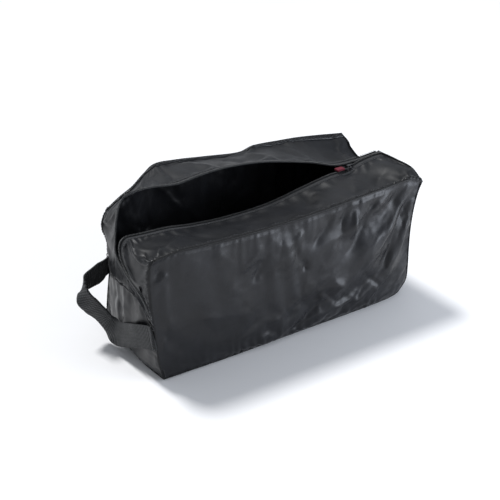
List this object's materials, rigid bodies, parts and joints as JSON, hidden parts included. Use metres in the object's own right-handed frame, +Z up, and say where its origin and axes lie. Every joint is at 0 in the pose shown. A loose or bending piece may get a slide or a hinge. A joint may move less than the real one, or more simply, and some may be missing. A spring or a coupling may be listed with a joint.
{
  "type": "shoe bag",
  "caption": "Soft nylon shoe bag with a zipped split top that runs down one end and a webbing carry loop on that end.",
  "frame": {"origin": "centre of the bottom panel's underside", "axes": "+Z up, +X along the bag away from the carry loop, +Y from the front panel to the back panel"},
  "size_m": [0.3556, 0.1402, 0.1671],
  "materials": {
    "bag_nylon": "coated nylon taffeta, slightly glossy",
    "zip_tape": "woven polyester tape, matte",
    "zip_coil": "nylon coil, satin",
    "thread": "dense stitched thread",
    "binding_tape": "folded binding tape, matte",
    "webbing": "ribbed polypropylene webbing, matte",
    "slider_metal": "black enamelled zinc, satin",
    "red_tab": "crimson cord and tape, matte"
  },
  "bodies": {
    "shell": {"bottom_panel": "bag_nylon", "front_panel": "bag_nylon", "back_panel": "bag_nylon", "left_end_panel": "bag_nylon", "right_end_panel": "bag_nylon", "front_end_gore": "bag_nylon", "back_end_gore": "bag_nylon", "front_fixed_top": "bag_nylon", "back_fixed_top": "bag_nylon", "closed_zip_tape": "zip_tape", "closed_zip_coil": "zip_coil", "front_end_zip": "zip_tape", "back_end_zip": "zip_tape", "right_bar_tack": "thread", "left_bar_tack": "thread", "handle_front_bar_tack": "thread", "handle_back_bar_tack": "thread", "left_seam_binding": "binding_tape", "right_seam_binding": "binding_tape", "front_bottom_binding": "binding_tape", "back_bottom_binding": "binding_tape", "handle_front_end": "webbing", "handle_back_end": "webbing"},
    "front_strip": {"front_zip_strip": "bag_nylon", "front_zip_tape": "zip_tape", "front_zip_coil": "zip_coil"},
    "back_strip": {"back_zip_strip": "bag_nylon", "back_zip_tape": "zip_tape", "back_zip_coil": "zip_coil"},
    "slider": {"zip_slider": "slider_metal"},
    "pull": {"zip_pull": "slider_metal", "red_pull_tab": "red_tab"},
    "handle": {"carry_handle": "webbing"}
  },
  "joints": [
    {"name": "front_strip_fold", "type": "hinge", "parent": "shell", "child": "front_strip", "pos_m": [0, -0.0694, 0.1426], "axis": [1, 0, 0], "range_deg": [-20, 110]},
    {"name": "back_strip_fold", "type": "hinge", "parent": "shell", "child": "back_strip", "pos_m": [0, 0.0694, 0.1566], "axis": [-1, 0, 0], "range_deg": [-40, 90]},
    {"name": "zip_slide", "type": "slide", "parent": "front_strip", "child": "slider", "axis": [-1, 0, 0], "range_m": [0, 0.26]},
    {"name": "pull_flip", "type": "hinge", "parent": "slider", "child": "pull", "pos_m": [0.113, -0.00534, 0.14528], "axis": [0, 0.9998, -0.0175], "range_deg": [0, 110]},
    {"name": "handle_swing", "type": "hinge", "parent": "shell", "child": "handle", "pos_m": [-0.172, 0, 0.062], "axis": [0, 1, 0], "range_deg": [-60, 60]}
  ]
}
